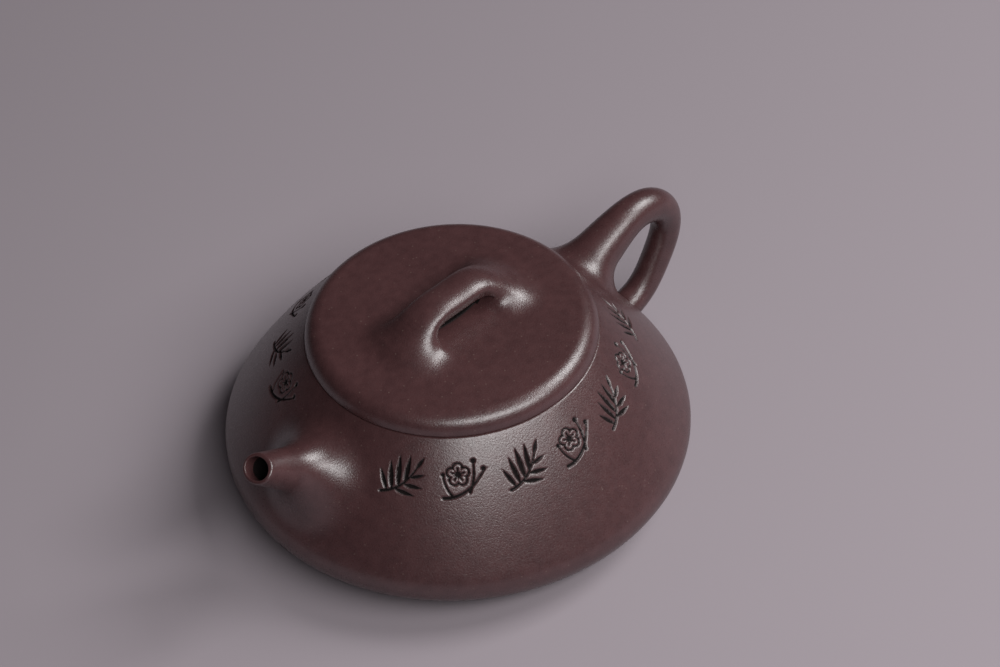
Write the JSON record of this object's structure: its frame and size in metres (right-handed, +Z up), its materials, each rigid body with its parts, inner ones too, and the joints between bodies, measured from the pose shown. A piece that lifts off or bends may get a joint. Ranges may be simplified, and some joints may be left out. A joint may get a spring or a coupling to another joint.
{
  "type": "teapot",
  "caption": "Low conical clay teapot with a short tapered spout, an ear-shaped handle, small feet and a lift-off lid with a bridge knob.",
  "frame": {"origin": "middle of the outline, on the surface that the feet stand on", "axes": "+Z up along the pot's axis, which stands 6.7 mm towards -X; spout towards -X, handle towards +X"},
  "size_m": [0.1441, 0.116, 0.056],
  "materials": {
    "purple_clay": "unglazed, burnished, fine sandy grain"
  },
  "bodies": {
    "pot": {"body_wall": "purple_clay", "base_disc": "purple_clay", "mouth_ring": "purple_clay", "spout": "purple_clay", "spout_strainer": "purple_clay", "handle": "purple_clay", "foot_front": "purple_clay", "foot_back_left": "purple_clay", "foot_back_right": "purple_clay"},
    "lid": {"lid_plate": "purple_clay", "lid_flange": "purple_clay", "lid_knob": "purple_clay"}
  },
  "joints": [
    {"name": "lid_lift", "type": "slide", "parent": "pot", "child": "lid", "axis": [0, 0, 1], "range_m": [0, 0.06]}
  ]
}
